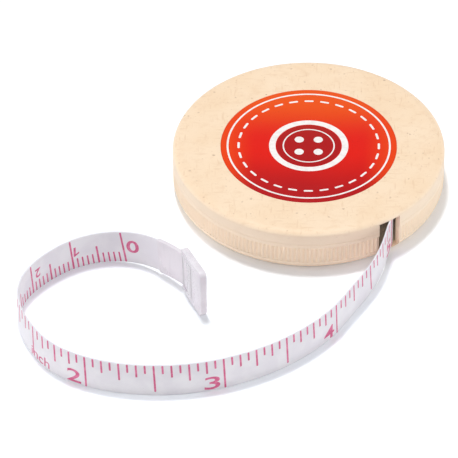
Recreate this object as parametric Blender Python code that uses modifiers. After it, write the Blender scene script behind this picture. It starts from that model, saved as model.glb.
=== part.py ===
"""Round retractable tape measure: a two-shell case, a spring reel with a push-button brake, and 150 cm
of tape.

Metres, +Z up. The origin is the middle of the case's underside, and the reel turns about Z. The tape
leaves the slot towards -Y and stands on its edge in an open loop that ends in the pull tab.
"""

import math

import bmesh
import bpy
import numpy as np

MM = 0.001

# Case: its height follows from the tape's width
CASE_RADIUS = 25.0 * MM
SIDE_WALL = 1.3 * MM
FLOOR = 0.9 * MM
ROOF = 0.8 * MM
TOP_EDGE_RADIUS = 0.9 * MM
BOTTOM_EDGE_RADIUS = 2.4 * MM
INNER_CORNER = 0.5 * MM
SMOOTH_BAND = 2.7 * MM  # height of the top cover's skirt
COVER_GAP = 0.1 * MM  # the parting line
LIP_WALL = 0.8 * MM
LIP_DEPTH = 1.3 * MM  # how far the top cover's lip goes into the base

# Grip ribs round the base
RIB_COUNT = 196
RIB_DEPTH = 0.2 * MM
RIB_ROOT = 0.3 * MM  # how deep the rib ring sits in the wall
RIB_MARGIN = 0.1 * MM  # ribs below the wall's top and into the lower rim
LOWER_RIM = 0.3 * MM  # height of the rim's straight part

# Tape slot
SLOT_WIDTH = 4.6 * MM
SLOT_SWING = 1.15 * MM  # from the tape to the slot's middle, on the side that the tape curls to
SLOT_CLEARANCE = 0.1 * MM

# Tape
TAPE_WIDTH = 7.0 * MM
TAPE_THICKNESS = 0.25 * MM
COIL_DEPTH = 4.2 * MM  # what 135 cm of tape takes up, wound
LEAD_GAP = 0.175 * MM  # from the wound tape to the straight run that leaves it
LEAD_START = -0.5 * MM  # Y where the straight run begins
LEAD_END = -15.0 * MM
TAPE_STEP = 2.4 * MM  # spacing of the tape's cross-sections
CASE_CLEARANCE = 0.15 * MM  # moving pieces to the case's floor and roof

# Reel: its radii follow from the button's, outwards
DRUM_WALL = 0.9 * MM
COIL_CLEARANCE = 0.1 * MM
WEB_HEIGHT = 2.9 * MM
WEB = 0.7 * MM
RIVET_RADIUS = 0.6 * MM
RIVET_HEAD_RADIUS = 1.0 * MM
RIVET_HEAD = 0.3 * MM
RIVET_CLEARANCE = 0.1 * MM

# Arbor, fixed under the roof, and the bearing ring that the drum turns on
ARBOR_RADIUS = 5.2 * MM
ARBOR_WALL = 0.7 * MM
BEARING_CLEARANCE = 0.15 * MM
BEARING_WALL = 0.65 * MM
BEARING_GAP = 0.1 * MM  # bearing ring to the web that rests on it
ARBOR_GAP = 0.3 * MM  # arbor to the web

# Mainspring and its cover
SPRING_STRIP = 0.15 * MM
SPRING_TURNS = 7
SPRING_STEPS_PER_TURN = 24
SPRING_GAP = 0.3 * MM  # strip to arbor, and to the drum
SPRING_WEB_GAP = 0.15 * MM
SPRING_COVER = 0.2 * MM
SPRING_COVER_SEAT = 0.3 * MM
SPRING_COVER_CLEARANCE = 0.1 * MM
HOOK_SLOT = 0.7 * MM

# Brake and button
BRAKE_DISC = 0.75 * MM
BRAKE_CLEARANCE = 0.2 * MM  # disc to arbor bore
KEY_WIDTH = 1.0 * MM
KEY_CLEARANCE = 0.15 * MM
FRICTION_RING = 0.3 * MM
FRICTION_RING_BORE = 2.7 * MM
RING_GAP = 0.03 * MM
BUTTON_TRAVEL = 1.0 * MM
BUTTON_RADIUS = 8.4 * MM
BUTTON_CLEARANCE = 0.2 * MM
BUTTON_RECESS = 0.3 * MM
BUTTON_FLANGE = 0.5 * MM
BUTTON_FLANGE_LIP = 0.5 * MM
BUTTON_REST_GAP = 0.1 * MM
BUTTON_EDGE = 0.3 * MM
BUTTON_DISH = 0.35 * MM
DISH_STEPS = 4
STEM_RADIUS = 2.1 * MM
STEM_CLEARANCE = 0.4 * MM
STEM_GAP = 0.05 * MM
WIRE_RADIUS = 0.22 * MM
WIRE_COIL_RADIUS = 2.9 * MM
WIRE_TURNS = 4
WIRE_STEPS_PER_TURN = 12
WIRE_END_GAP = 0.05 * MM
WIRE_ROUNDNESS = 2

# Printed disc
DISC_RADIUS = 16.2 * MM
DISC = 0.2 * MM
DISC_CLEARANCE = 0.1 * MM
DISC_GLUE = 0.05 * MM

# Pull tab: a plate that turns away from the tape's line, and the sleeve that grips the tape's last stretch
TAB_LENGTH = 8.45 * MM
TAB_HEIGHT = 10.0 * MM
TAB_THICKNESS = 1.3 * MM
TAB_FOOT_GAP = 0.1 * MM
TAB_SHOULDER = 0.9 * MM
TAB_HEEL_LENGTH = 4.4 * MM  # the lower edge slopes up to the sleeve over this length
TAB_HEEL_RISE = 1.0 * MM
TAB_CORNER = 1.0 * MM
TAB_BEND = math.radians(-20)
TAB_SET_IN = 0.9 * MM  # how far the plate begins past the tape's end
SLEEVE_LENGTH = 5.2 * MM
SLEEVE_WALL = 0.3 * MM
SLEEVE_CLEARANCE = 0.08 * MM
SLEEVE_RIM = 0.25 * MM  # how far the sleeve stands past the tape's edges

FINE_STEPS = 64
SMALL_STEPS = 40
RIVET_STEPS = 16
ARC_STEPS = 4
SHARP_ANGLE = math.radians(35)
WELD = 1e-6

# Worked out from the sizes above
CASE_HEIGHT = FLOOR + TAPE_WIDTH + 2 * CASE_CLEARANCE + ROOF
ROOF_UNDERSIDE = CASE_HEIGHT - ROOF
SKIRT_BOTTOM = CASE_HEIGHT - SMOOTH_BAND
BASE_TOP = SKIRT_BOTTOM - COVER_GAP
WALL_INSIDE = CASE_RADIUS - SIDE_WALL
TAPE_LOW = FLOOR + CASE_CLEARANCE
BUTTON_HOLE = BUTTON_RADIUS + BUTTON_CLEARANCE
BUTTON_FLANGE_RADIUS = BUTTON_HOLE + BUTTON_FLANGE_LIP
BEARING_BORE = BUTTON_FLANGE_RADIUS + BUTTON_CLEARANCE / 2
BEARING_RADIUS = BEARING_BORE + BEARING_WALL
DRUM_BORE = BEARING_RADIUS + BEARING_CLEARANCE
DRUM_RADIUS = DRUM_BORE + DRUM_WALL
COIL_BORE = DRUM_RADIUS + COIL_CLEARANCE
WOUND_RADIUS = COIL_BORE + COIL_DEPTH
LEAD_X = WOUND_RADIUS + LEAD_GAP + TAPE_THICKNESS / 2
WALL_MIDDLE = CASE_RADIUS - SIDE_WALL / 2
SLOT_ANGLE = math.asin(LEAD_X / WALL_MIDDLE) - math.asin(SLOT_SWING / WALL_MIDDLE)  # from -Y towards +X
SLOT_REACH = CASE_RADIUS + SIDE_WALL
WEB_TOP = WEB_HEIGHT + WEB
ARBOR_BOTTOM = WEB_TOP + ARBOR_GAP
ARBOR_BORE = ARBOR_RADIUS - ARBOR_WALL
DRUM_TOP = ROOF_UNDERSIDE - CASE_CLEARANCE
COVER_SEAT_Z = DRUM_TOP - CASE_CLEARANCE - SPRING_COVER
RIVET_Z = (WEB_TOP + COVER_SEAT_Z) / 2
RING_Z = WEB_TOP + RING_GAP
BRAKE_Z = RING_Z + FRICTION_RING + RING_GAP
BRAKE_RADIUS = ARBOR_BORE - BRAKE_CLEARANCE
DISC_FLOOR = CASE_HEIGHT - DISC - DISC_GLUE

# The tape's route past its straight run, seen from above, in mm, chosen by hand: X from the straight run's,
# Y from the axis of a reel in a case of ROUTE_CASE_RADIUS, and how far the tape's lower edge has dropped
# below its level in the slot. A wider case moves the route outwards, so that the drop stays outside it.
ROUTE_CASE_RADIUS = 25.0 * MM
ROUTE_MM = (
    (-0.1, -17.5, 0.0),
    (-0.82, -20.85, 0.05),
    (-1.55, -24.09, 0.24),
    (-2.75, -28.1, 0.55),
    (-4.35, -31.73, 0.78),
    (-6.9, -36.32, 0.91),
    (-9.9, -41.62, 0.97),
    (-13.3, -46.05, 0.98),
    (-17.9, -50.38, 0.99),
    (-24.1, -54.49, 0.99),
    (-32.0, -57.79, 0.99),
    (-40.5, -59.3, 0.99),
    (-48.5, -58.95, 0.99),
    (-56.0, -56.78, 0.98),
    (-61.9, -52.77, 0.97),
    (-65.9, -46.6, 0.97),
    (-67.8, -39.88, 0.97),
    (-66.6, -34.01, 0.97),
    (-63.1, -28.99, 0.97),
    (-57.9, -24.76, 0.97),
    (-52.3, -22.83, 0.93),
    (-46.9, -23.31, 0.71),
    (-42.4, -25.97, 0.18),
    (-38.4, -29.7, -0.37),
)


def clear_scene():
    for old in list(bpy.data.objects):
        bpy.data.objects.remove(old, do_unlink=True)


def add_collection(name):
    made = bpy.data.collections.new(name)
    bpy.context.scene.collection.children.link(made)
    return made


def material(name, color, roughness, metallic=0.0):
    made = bpy.data.materials.new(name)
    made.use_nodes = True
    shader = made.node_tree.nodes["Principled BSDF"]
    shader.inputs["Base Color"].default_value = (*color, 1.0)
    shader.inputs["Roughness"].default_value = roughness
    shader.inputs["Metallic"].default_value = metallic
    made.diffuse_color = (*color, 1.0)
    return made


def add_object(name, mesh, look=None, parent=None):
    """A sub-part with its look, or a hidden cutter where it has none."""
    made = bpy.data.objects.new(name, mesh)
    (PARTS if look else CUTTERS).objects.link(made)
    if look:
        made.data.materials.append(look)
    else:
        made.hide_render = True
        made.display_type = "WIRE"
    if parent:
        made.parent = parent
    return made


def add_empty(name):
    """The joint axis that moving pieces are parented to."""
    made = bpy.data.objects.new(name, None)
    made.empty_display_size = CASE_HEIGHT / 2
    PARTS.objects.link(made)
    return made


def turned(name, profile, steps, look=None, parent=None, closed=True):
    """A profile of (radius, z) turned about Z. It runs down its outer side."""
    mesh = bpy.data.meshes.new(name)
    count = len(profile)
    edges = [(i, (i + 1) % count) for i in range(count if closed else count - 1)]
    mesh.from_pydata([(r, 0.0, z) for r, z in profile], edges, [])
    made = add_object(name, mesh, look, parent)
    screw = made.modifiers.new("turn", "SCREW")
    screw.steps = steps
    screw.render_steps = steps
    screw.use_merge_vertices = True
    screw.merge_threshold = WELD
    screw.use_smooth_shade = True
    return made


def arc(center, radius, start, end, steps=ARC_STEPS):
    """Points of a profile's round corner, with angles in degrees."""
    angles = [math.radians(start + (end - start) * i / steps) for i in range(steps + 1)]
    return [(center[0] + radius * math.cos(a), center[1] + radius * math.sin(a)) for a in angles]


def box(name, low, high):
    mesh = bpy.data.meshes.new(name)
    shape = bmesh.new()
    bmesh.ops.create_cube(shape, size=1.0)
    size = [b - a for a, b in zip(low, high)]
    middle = [(a + b) / 2 for a, b in zip(low, high)]
    bmesh.ops.scale(shape, vec=size, verts=shape.verts)
    bmesh.ops.translate(shape, vec=middle, verts=shape.verts)
    shape.to_mesh(mesh)
    shape.free()
    return add_object(name, mesh)


def boolean(target, other, operation="DIFFERENCE"):
    step = target.modifiers.new(other.name, "BOOLEAN")
    step.operation = operation
    step.solver = "EXACT"
    step.object = other


def curve_mesh(curve_object, look=None):
    """The curve as a closed mesh object of the same name."""
    bpy.context.view_layer.update()
    graph = bpy.context.evaluated_depsgraph_get()
    mesh = bpy.data.meshes.new_from_object(curve_object.evaluated_get(graph))
    shape = bmesh.new()
    shape.from_mesh(mesh)
    bmesh.ops.remove_doubles(shape, verts=shape.verts, dist=WELD)
    shape.to_mesh(mesh)
    shape.free()
    mesh.shade_smooth()
    mesh.set_sharp_from_angle(angle=SHARP_ANGLE)
    name = curve_object.name
    place = curve_object.matrix_world.copy()
    bpy.data.objects.remove(curve_object, do_unlink=True)
    mesh.name = name
    made = add_object(name, mesh, look)
    made.matrix_world = place
    return made


def flat_outline(name, outlines, thickness):
    """A filled 2D curve of closed outlines, extruded about its own plane."""
    curve = bpy.data.curves.new(name, "CURVE")
    curve.dimensions = "2D"
    curve.fill_mode = "BOTH"
    curve.extrude = thickness / 2
    for points in outlines:
        spline = curve.splines.new("POLY")
        spline.points.add(len(points) - 1)
        for point, (x, y) in zip(spline.points, points):
            point.co = (x, y, 0.0, 1.0)
        spline.use_cyclic_u = True
    made = bpy.data.objects.new(name, curve)
    CUTTERS.objects.link(made)
    return made


def smooth_route(points, spacing):
    """Even points on the natural cubic spline through these points."""
    knots = np.array(points, float)
    at = np.r_[0.0, np.cumsum(np.linalg.norm(np.diff(knots, axis=0), axis=1))]
    gaps = np.diff(at)
    count = len(knots)
    system = np.eye(count)
    right = np.zeros_like(knots)
    for i in range(1, count - 1):
        system[i, i - 1 : i + 2] = gaps[i - 1], 2 * (gaps[i - 1] + gaps[i]), gaps[i]
        slopes = np.diff(knots[i - 1 : i + 2], axis=0) / gaps[i - 1 : i + 1, None]
        right[i] = 6 * (slopes[1] - slopes[0])
    bend = np.linalg.solve(system, right)
    here = np.linspace(0.0, at[-1], round(at[-1] / spacing) + 1)
    i = np.clip(np.searchsorted(at, here, side="right") - 1, 0, count - 2)
    after = (here - at[i])[:, None]
    before = (at[i + 1] - here)[:, None]
    gap = gaps[i][:, None]
    cubic = (bend[i] * before**3 + bend[i + 1] * after**3) / (6 * gap)
    from_last = (knots[i] / gap - bend[i] * gap / 6) * before
    to_next = (knots[i + 1] / gap - bend[i + 1] * gap / 6) * after
    return cubic + from_last + to_next


def tape_route():
    """The tape's lower edge, from its straight run off the coil to its far end."""
    outwards = CASE_RADIUS - ROUTE_CASE_RADIUS
    free = np.array(ROUTE_MM) * MM
    free[:, 1] -= outwards
    free[:, 0] += LEAD_X
    free[:, 2] = TAPE_LOW - free[:, 2]
    curved = np.vstack([(LEAD_X, LEAD_END - outwards, TAPE_LOW), free])
    return np.vstack([(LEAD_X, LEAD_START, TAPE_LOW), smooth_route(curved, TAPE_STEP)])


def lengths_along(points):
    return np.r_[0.0, np.cumsum(np.linalg.norm(np.diff(points[:, :2], axis=0), axis=1))]


def ribbon(name, points, height, thickness, look=None, parent=None):
    """A strip that stands on its edge along the points of its lower edge."""
    mesh = bpy.data.meshes.new(name)
    shape = bmesh.new()
    low = [shape.verts.new(p) for p in points]
    edges = [shape.edges.new(pair) for pair in zip(low[:-1], low[1:])]
    raised = bmesh.ops.extrude_edge_only(shape, edges=edges)["geom"]
    upper = [v for v in raised if isinstance(v, bmesh.types.BMVert)]
    bmesh.ops.translate(shape, vec=(0.0, 0.0, height), verts=upper)
    bmesh.ops.recalc_face_normals(shape, faces=shape.faces)
    shape.to_mesh(mesh)
    shape.free()
    made = add_object(name, mesh, look, parent)
    solid = made.modifiers.new("thickness", "SOLIDIFY")
    solid.thickness = thickness
    solid.offset = 0.0
    solid.use_even_offset = True
    return made


def slot_cutter(name, reach, width, low, high):
    """A box along the slot's direction, from the wound tape out to this radius."""
    made = box(name, (-width / 2, -reach, low), (width / 2, -WOUND_RADIUS, high))
    made.rotation_euler = (0.0, 0.0, SLOT_ANGLE)
    return made


def make_base_cover():
    rounding = BOTTOM_EDGE_RADIUS
    rim_top = rounding + LOWER_RIM
    ribs_outside = CASE_RADIUS - COVER_GAP / 2
    wall_outside = ribs_outside - RIB_DEPTH - RIB_MARGIN
    profile = [(wall_outside, BASE_TOP), (wall_outside, rim_top), (CASE_RADIUS, rim_top)]
    profile += arc((CASE_RADIUS - rounding, rounding), rounding, 0, -90)
    profile += [(BUTTON_HOLE + BUTTON_EDGE, 0.0), (BUTTON_HOLE, BUTTON_EDGE), (BUTTON_HOLE, FLOOR)]
    profile += [(BEARING_BORE, FLOOR), (BEARING_BORE, WEB_HEIGHT - BEARING_GAP)]
    profile += [(BEARING_RADIUS, WEB_HEIGHT - BEARING_GAP), (BEARING_RADIUS, FLOOR)]
    profile += [(WALL_INSIDE - INNER_CORNER, FLOOR), (WALL_INSIDE, FLOOR + INNER_CORNER)]
    profile.append((WALL_INSIDE, BASE_TOP))
    base = turned("base_cover", profile, FINE_STEPS, STRAW_PLASTIC)
    ribs_low = rim_top - RIB_MARGIN
    ribs = make_rib_ring(ribs_outside, wall_outside - RIB_ROOT, ribs_low, BASE_TOP - RIB_MARGIN)
    boolean(base, ribs, "UNION")
    boolean(base, slot_cutter("base_slot", SLOT_REACH, SLOT_WIDTH, TAPE_LOW - SLOT_CLEARANCE, CASE_HEIGHT))
    return base


def make_rib_ring(outside, inside, low, high):
    """The fine grip ribs, as one toothed ring that is joined to the wall."""
    teeth = []
    for i in range(2 * RIB_COUNT):
        radius = outside - (RIB_DEPTH if i % 2 else 0.0)
        angle = math.pi * i / RIB_COUNT
        teeth.append((radius * math.cos(angle), radius * math.sin(angle)))
    turns = [2 * math.pi * i / FINE_STEPS for i in range(FINE_STEPS)]
    inner = [(inside * math.cos(a), inside * math.sin(a)) for a in turns]
    ring = flat_outline("grip_ribs", [teeth, inner], high - low)
    ring.location.z = (low + high) / 2
    return curve_mesh(ring)


def make_top_cover():
    edge = TOP_EDGE_RADIUS
    recess = DISC_RADIUS + DISC_CLEARANCE
    lip_radius = WALL_INSIDE - COVER_GAP
    profile = [(0.0, DISC_FLOOR), (recess, DISC_FLOOR), (recess, CASE_HEIGHT)]
    profile += arc((CASE_RADIUS - edge, CASE_HEIGHT - edge), edge, 90, 0)
    lip_bottom = SKIRT_BOTTOM - LIP_DEPTH
    profile += [(CASE_RADIUS, SKIRT_BOTTOM), (lip_radius, SKIRT_BOTTOM), (lip_radius, lip_bottom)]
    profile += [(lip_radius - LIP_WALL, lip_bottom), (lip_radius - LIP_WALL, ROOF_UNDERSIDE)]
    profile += [(ARBOR_RADIUS, ROOF_UNDERSIDE), (ARBOR_RADIUS, ARBOR_BOTTOM)]
    profile += [(ARBOR_BORE, ARBOR_BOTTOM), (ARBOR_BORE, ROOF_UNDERSIDE), (0.0, ROOF_UNDERSIDE)]
    top = turned("top_cover", profile, FINE_STEPS, STRAW_PLASTIC, closed=False)
    slot_high = TAPE_LOW + TAPE_WIDTH + SLOT_CLEARANCE / 2
    below = ARBOR_BOTTOM - ARBOR_GAP
    boolean(top, slot_cutter("top_slot", SLOT_REACH, SLOT_WIDTH, below, slot_high))
    relief_reach = lip_radius + COVER_GAP / 4
    boolean(top, slot_cutter("lip_relief", relief_reach, 2 * SLOT_WIDTH, below, slot_high))
    key_half = KEY_WIDTH / 2 + KEY_CLEARANCE
    key_top = BRAKE_Z + BRAKE_DISC + BUTTON_TRAVEL + KEY_CLEARANCE
    reach = ARBOR_RADIUS + SPRING_GAP / 2
    boolean(top, box("key_slots", (-reach, -key_half, below), (reach, key_half, key_top)))
    hook_low = (-HOOK_SLOT / 2, ARBOR_BORE - SPRING_GAP, below)
    boolean(top, box("hook_slot", hook_low, (HOOK_SLOT / 2, reach, COVER_SEAT_Z)))
    return top


def make_printed_disc():
    low = DISC_FLOOR + DISC_GLUE
    bevel = DISC / 4
    profile = [(0.0, low + DISC), (DISC_RADIUS - bevel, low + DISC), (DISC_RADIUS, low + DISC - bevel)]
    profile += [(DISC_RADIUS, low), (0.0, low)]
    return turned("printed_disc", profile, FINE_STEPS, PRINT, closed=False)


def make_spool(parent):
    seat_radius = DRUM_BORE + SPRING_COVER_SEAT
    profile = [(DRUM_RADIUS, DRUM_TOP), (DRUM_RADIUS, TAPE_LOW + COIL_CLEARANCE)]
    profile += [(DRUM_BORE, TAPE_LOW + COIL_CLEARANCE), (DRUM_BORE, WEB_HEIGHT)]
    profile += [(STEM_RADIUS + STEM_CLEARANCE, WEB_HEIGHT), (STEM_RADIUS + STEM_CLEARANCE, WEB_TOP)]
    profile += [(DRUM_BORE, WEB_TOP), (DRUM_BORE, COVER_SEAT_Z)]
    profile += [(seat_radius, COVER_SEAT_Z), (seat_radius, DRUM_TOP)]
    spool = turned("spool", profile, FINE_STEPS, STRAW_PLASTIC, parent)
    hole = turned_along_x("rivet_hole", [(RIVET_RADIUS + RIVET_CLEARANCE, 2 * DRUM_WALL)])
    boolean(spool, hole)
    return spool


def turned_along_x(name, stations, look=None, parent=None):
    """A small round piece through the drum wall at -X: (radius, length) stations, laid end to end."""
    profile = []
    at = sum(length for _, length in stations) / 2
    for radius, length in stations:
        profile += [(radius, at), (radius, at - length)]
        at -= length
    profile = [(0.0, profile[0][1])] + profile + [(0.0, profile[-1][1])]
    made = turned(name, profile, RIVET_STEPS, look, parent, closed=False)
    made.rotation_euler = (0.0, math.pi / 2, 0.0)
    made.location = (-DRUM_RADIUS + DRUM_WALL / 2, 0.0, RIVET_Z)
    return made


def make_tape_rivet(parent):
    shank = DRUM_WALL + 2 * RIVET_CLEARANCE
    stations = [(RIVET_HEAD_RADIUS, RIVET_HEAD), (RIVET_RADIUS, shank), (RIVET_HEAD_RADIUS, RIVET_HEAD)]
    return turned_along_x("tape_rivet", stations, STEEL, parent)


def make_tape_coil(parent):
    """The wound tape as one ring, with room for the rivet's head in its first turns."""
    profile = [(WOUND_RADIUS, TAPE_LOW + TAPE_WIDTH), (WOUND_RADIUS, TAPE_LOW)]
    profile += [(COIL_BORE, TAPE_LOW), (COIL_BORE, TAPE_LOW + TAPE_WIDTH)]
    coil = turned("tape_coil", profile, FINE_STEPS, TAPE_WHITE, parent)
    half = RIVET_HEAD_RADIUS + COIL_CLEARANCE
    pocket_low = (-COIL_BORE - RIVET_HEAD - COIL_CLEARANCE, -half, RIVET_Z - half)
    boolean(coil, box("rivet_pocket", pocket_low, (-DRUM_BORE, half, RIVET_Z + half)))
    return coil


def make_mainspring():
    """A flat spiral, clockwise as it grows, that the fixed arbor holds at its inner end."""
    inner = ARBOR_RADIUS + SPRING_GAP
    outer = DRUM_BORE - RIVET_HEAD - SPRING_GAP
    count = SPRING_TURNS * SPRING_STEPS_PER_TURN
    low = WEB_TOP + SPRING_WEB_GAP
    points = [(0.0, ARBOR_BORE + SPRING_STRIP, low)]
    for i in range(count + 1):
        radius = inner + (outer - inner) * i / count
        angle = math.pi / 2 - 2 * math.pi * i / SPRING_STEPS_PER_TURN
        points.append((radius * math.cos(angle), radius * math.sin(angle), low))
    height = COVER_SEAT_Z - SPRING_WEB_GAP - low
    return ribbon("mainspring", points, height, SPRING_STRIP, STEEL)


def make_spring_cover(parent):
    low = COVER_SEAT_Z + SPRING_COVER_CLEARANCE / 2
    radius = DRUM_BORE + SPRING_COVER_SEAT - SPRING_COVER_CLEARANCE
    bore = ARBOR_RADIUS + SPRING_GAP
    profile = [(radius, low + SPRING_COVER), (radius, low), (bore, low), (bore, low + SPRING_COVER)]
    return turned("spring_cover", profile, FINE_STEPS, STEEL, parent)


def make_brake_disc(parent):
    high = BRAKE_Z + BRAKE_DISC
    profile = [(0.0, high), (BRAKE_RADIUS, high), (BRAKE_RADIUS, BRAKE_Z), (0.0, BRAKE_Z)]
    disc = turned("brake_disc", profile, SMALL_STEPS, DARK_PLASTIC, parent, closed=False)
    reach = ARBOR_RADIUS - KEY_CLEARANCE
    low = (-reach, -KEY_WIDTH / 2, BRAKE_Z + RING_GAP)
    keys = box("brake_keys", low, (reach, KEY_WIDTH / 2, high - RING_GAP))
    boolean(disc, keys, "UNION")
    return disc


def make_friction_ring(parent):
    outer = BRAKE_RADIUS - RING_GAP
    profile = [(outer, RING_Z + FRICTION_RING), (outer, RING_Z)]
    profile += [(FRICTION_RING_BORE, RING_Z), (FRICTION_RING_BORE, RING_Z + FRICTION_RING)]
    return turned("friction_ring", profile, SMALL_STEPS, RUBBER, parent)


def make_button_spring():
    """A helix between the brake disc and the roof that it pushes against."""
    low = BRAKE_Z + BRAKE_DISC + WIRE_RADIUS + WIRE_END_GAP
    high = ROOF_UNDERSIDE - WIRE_RADIUS - WIRE_END_GAP
    count = WIRE_TURNS * WIRE_STEPS_PER_TURN
    curve = bpy.data.curves.new("button_spring", "CURVE")
    curve.dimensions = "3D"
    curve.bevel_depth = WIRE_RADIUS
    curve.bevel_resolution = WIRE_ROUNDNESS
    curve.use_fill_caps = True
    spline = curve.splines.new("POLY")
    spline.points.add(count)
    for i, point in enumerate(spline.points):
        angle = 2 * math.pi * i / WIRE_STEPS_PER_TURN
        height = low + (high - low) * i / count
        point.co = (WIRE_COIL_RADIUS * math.cos(angle), WIRE_COIL_RADIUS * math.sin(angle), height, 1.0)
    made = bpy.data.objects.new("button_spring", curve)
    CUTTERS.objects.link(made)
    return curve_mesh(made, STEEL)


def make_push_button(parent):
    """A dished cap in the underside, with a flange that holds it in and a stem that lifts the brake."""
    flange_low = FLOOR + BUTTON_REST_GAP
    flange_top = flange_low + BUTTON_FLANGE
    rim = BUTTON_RADIUS - BUTTON_EDGE
    profile = [(0.0, BRAKE_Z - STEM_GAP), (STEM_RADIUS, BRAKE_Z - STEM_GAP)]
    profile += [(STEM_RADIUS, flange_top), (BUTTON_FLANGE_RADIUS, flange_top)]
    profile.append((BUTTON_FLANGE_RADIUS, flange_low))
    profile += [(BUTTON_RADIUS, flange_low), (BUTTON_RADIUS, BUTTON_RECESS + BUTTON_EDGE)]
    profile += [(rim, BUTTON_RECESS), (rim - BUTTON_EDGE, BUTTON_RECESS)]
    for i in range(1, DISH_STEPS):
        share = 1 - i / DISH_STEPS
        dish = BUTTON_DISH * (1 - share**2)
        profile.append((share * (rim - BUTTON_EDGE), BUTTON_RECESS + dish))
    profile.append((0.0, BUTTON_RECESS + BUTTON_DISH))
    return turned("push_button", profile, SMALL_STEPS, STRAW_PLASTIC, parent, closed=False)


def tab_frame(route):
    """The tape's end, the way that it points there and the turn of that way about Z."""
    end = route[-1]
    way = route[-1][:2] - route[-2][:2]
    way = way / np.linalg.norm(way)
    return end, way, math.atan2(way[1], way[0])


def make_end_tab(route, parent):
    """A plate taller than the tape, with a thin sleeve round the tape's last stretch."""
    end, way, turn = tab_frame(route)
    start = end[:2] + way * TAB_SET_IN
    shoulder = TAB_SHOULDER
    low = TAB_FOOT_GAP
    high = low + TAB_HEIGHT
    outline = [(0.0, low + TAB_HEEL_RISE), (TAB_HEEL_LENGTH, low)]
    outline += arc((TAB_LENGTH - TAB_CORNER, low + TAB_CORNER), TAB_CORNER, -90, 0)
    outline += arc((TAB_LENGTH - shoulder, high - shoulder), shoulder, 0, 90)
    outline += arc((shoulder, high - shoulder), shoulder, 90, 180)
    plate = flat_outline("tab_plate", [outline], TAB_THICKNESS)
    plate.rotation_euler = (math.pi / 2, 0.0, turn + TAB_BEND)
    plate.location = (start[0], start[1], 0.0)
    plate = curve_mesh(plate)

    along = lengths_along(route)
    gripped = route[along > along[-1] - SLEEVE_LENGTH]
    inside = gripped[-1] + np.array([*(way * (TAB_SET_IN + TAB_THICKNESS / 2)), 0.0])
    outer = np.vstack([gripped, inside])
    outer[:, 2] -= SLEEVE_RIM
    pocket = route[along > along[-1] - SLEEVE_LENGTH - TAPE_STEP]
    pocket = np.vstack([pocket, pocket[-1] + np.array([*(way * SLEEVE_CLEARANCE), 0.0])])
    pocket[:, 2] -= SLEEVE_CLEARANCE
    thick = TAPE_THICKNESS + 2 * SLEEVE_CLEARANCE
    sleeve_high = TAPE_WIDTH + 2 * SLEEVE_RIM
    tab = ribbon("end_tab", outer, sleeve_high, thick + 2 * SLEEVE_WALL, TAB_PLASTIC, parent)
    boolean(tab, plate, "UNION")
    boolean(tab, ribbon("tab_pocket", pocket, TAPE_WIDTH + 2 * SLEEVE_CLEARANCE, thick))
    return tab


clear_scene()
PARTS = add_collection("tape_measure")
CUTTERS = add_collection("cutters")

STRAW_PLASTIC = material("straw_plastic", (0.86, 0.74, 0.58), 0.5)
DARK_PLASTIC = material("dark_plastic", (0.09, 0.09, 0.1), 0.55)
PRINT = material("print", (0.75, 0.12, 0.05), 0.3)
TAPE_WHITE = material("tape_white", (0.72, 0.71, 0.73), 0.45)
TAB_PLASTIC = material("tab_plastic", (0.75, 0.74, 0.76), 0.3)
STEEL = material("steel", (0.55, 0.55, 0.56), 0.3, 1.0)
RUBBER = material("rubber", (0.03, 0.03, 0.03), 0.85)

reel_axis = add_empty("reel_axis")
tape_way = add_empty("tape_way")
button_way = add_empty("button_way")
brake_way = add_empty("brake_way")

make_base_cover()
make_top_cover()
make_printed_disc()
make_spool(reel_axis)
make_tape_rivet(reel_axis)
make_tape_coil(reel_axis)
make_mainspring()
make_spring_cover(reel_axis)
make_brake_disc(brake_way)
make_friction_ring(brake_way)
make_button_spring()
make_push_button(button_way)
tape_line = tape_route()
ribbon("tape", tape_line, TAPE_WIDTH, TAPE_THICKNESS, TAPE_WHITE, tape_way)
make_end_tab(tape_line, tape_way)
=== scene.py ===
import math

import bpy
import numpy as np
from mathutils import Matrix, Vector


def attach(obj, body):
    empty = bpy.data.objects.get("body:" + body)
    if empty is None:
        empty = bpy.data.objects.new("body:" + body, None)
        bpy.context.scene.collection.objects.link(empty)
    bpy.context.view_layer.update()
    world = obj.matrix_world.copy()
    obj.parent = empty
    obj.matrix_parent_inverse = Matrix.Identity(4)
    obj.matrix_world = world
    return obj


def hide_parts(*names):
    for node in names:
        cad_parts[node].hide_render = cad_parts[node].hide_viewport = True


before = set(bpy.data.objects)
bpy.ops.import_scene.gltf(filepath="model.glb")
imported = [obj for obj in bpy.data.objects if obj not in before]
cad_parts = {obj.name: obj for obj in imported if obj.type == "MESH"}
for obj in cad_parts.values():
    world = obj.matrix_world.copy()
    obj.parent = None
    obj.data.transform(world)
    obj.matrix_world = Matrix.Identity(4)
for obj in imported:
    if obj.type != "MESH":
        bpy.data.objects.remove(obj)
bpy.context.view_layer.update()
mm = 0.001
sameSpot = 1e-3  # mm; ends that are nearer than this count as level
scene = bpy.context.scene


def onlySelect(piece):
    if bpy.context.object and bpy.context.object.mode != "OBJECT":
        bpy.ops.object.mode_set(mode="OBJECT")
    bpy.ops.object.select_all(action="DESELECT")
    if piece:
        piece.select_set(True)
        bpy.context.view_layer.objects.active = piece


def settle(piece):
    # put the object's place, turn and size into its mesh
    onlySelect(piece)
    bpy.ops.object.transform_apply(location=True, rotation=True, scale=True)


def named(name):
    piece = bpy.context.object
    piece.name = name
    piece.data.name = name
    settle(piece)
    return piece


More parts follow.
